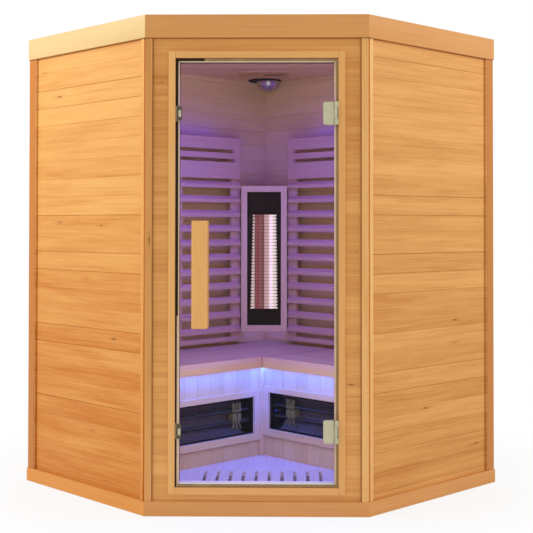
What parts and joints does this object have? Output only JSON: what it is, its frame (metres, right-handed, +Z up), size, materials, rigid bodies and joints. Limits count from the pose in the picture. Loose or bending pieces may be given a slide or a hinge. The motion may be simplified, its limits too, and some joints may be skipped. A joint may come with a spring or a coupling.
{
  "type": "infrared sauna cabin",
  "caption": "Corner infrared sauna cabin of softwood boards with a hinged glass door, L-shaped bench, slatted backrests, quartz-tube heaters and a sliding ceiling vent.",
  "frame": {"origin": "on the floor, at the middle of the whole object's box", "axes": "+X to the right seen from the door, +Y from the door towards the rear corner, +Z up"},
  "size_m": [2.0138, 1.6178, 1.9],
  "materials": {
    "cladding": "satin clear-coated softwood boards",
    "trim_wood": "satin clear-coated softwood, square planed",
    "lining_wood": "untreated softwood boards, matt",
    "roof_board": "plain sheet board, matt",
    "bench_wood": "untreated softwood, matt and smooth",
    "satin_steel": "satin",
    "black_steel": "matt black powder coat",
    "black_plastic": "fine matt",
    "lamp_chrome": "polished",
    "quartz": "frosted quartz",
    "led_diffuser": "milky diffuser",
    "carbon_film": "laminated film",
    "door_glass": "clear toughened glass, polished edges"
  },
  "bodies": {
    "cabin": {"front_wall_panel": "cladding", "left_wall_panel": "cladding", "right_wall_panel": "cladding", "rear_left_wall_panel": "cladding", "rear_right_wall_panel": "cladding", "plinth": "trim_wood", "roof_fascia": "trim_wood", "door_jamb_hinge": "trim_wood", "door_jamb_latch": "trim_wood", "door_head": "trim_wood", "door_sill": "trim_wood", "left_wall_lining": "lining_wood", "right_wall_lining": "lining_wood", "rear_left_wall_lining": "lining_wood", "rear_right_wall_lining": "lining_wood", "ceiling_panel": "lining_wood", "roof_cover": "roof_board", "floor_panel": "bench_wood", "floor_grille": "bench_wood", "vent_frame": "bench_wood", "seat_left": "bench_wood", "seat_right": "bench_wood", "seat_edge_left": "bench_wood", "seat_edge_right": "bench_wood", "bench_front_left": "bench_wood", "bench_front_right": "bench_wood", "bench_heater_left_frame": "bench_wood", "bench_heater_right_frame": "bench_wood", "backrest_left": "bench_wood", "backrest_right": "bench_wood", "corner_heater_frame": "bench_wood", "hinge_upper_leaf": "satin_steel", "hinge_upper_pin": "satin_steel", "hinge_lower_leaf": "satin_steel", "hinge_lower_pin": "satin_steel", "bench_heater_left_unit": "black_steel", "bench_heater_left_guard": "black_steel", "bench_heater_right_unit": "black_steel", "bench_heater_right_guard": "black_steel", "corner_heater_tray": "black_steel", "corner_heater_guard": "black_steel", "power_box": "black_plastic", "cable_gland": "black_plastic", "lamp_base": "black_plastic", "catch_upper": "black_plastic", "catch_lower": "black_plastic", "control_panel": "black_plastic", "lamp_dome": "lamp_chrome", "corner_heater_tube_left": "quartz", "corner_heater_tube_right": "quartz", "led_strip": "led_diffuser", "floor_heater": "carbon_film"},
    "door": {"door_glass": "door_glass", "door_handle_outer": "trim_wood", "door_handle_inner": "trim_wood", "hinge_upper_clamp": "satin_steel", "hinge_lower_clamp": "satin_steel", "strike_upper": "satin_steel", "strike_lower": "satin_steel"},
    "vent_slide": {"vent_slide": "bench_wood"}
  },
  "joints": [
    {"name": "door_hinge", "type": "hinge", "parent": "cabin", "child": "door", "pos_m": [0.30073, -0.77622, 0.921], "axis": [0, 0, 1], "range_deg": [0, 110]},
    {"name": "vent_slide_travel", "type": "slide", "parent": "cabin", "child": "vent_slide", "axis": [1, 0, 0], "range_m": [0, 0.1]}
  ]
}
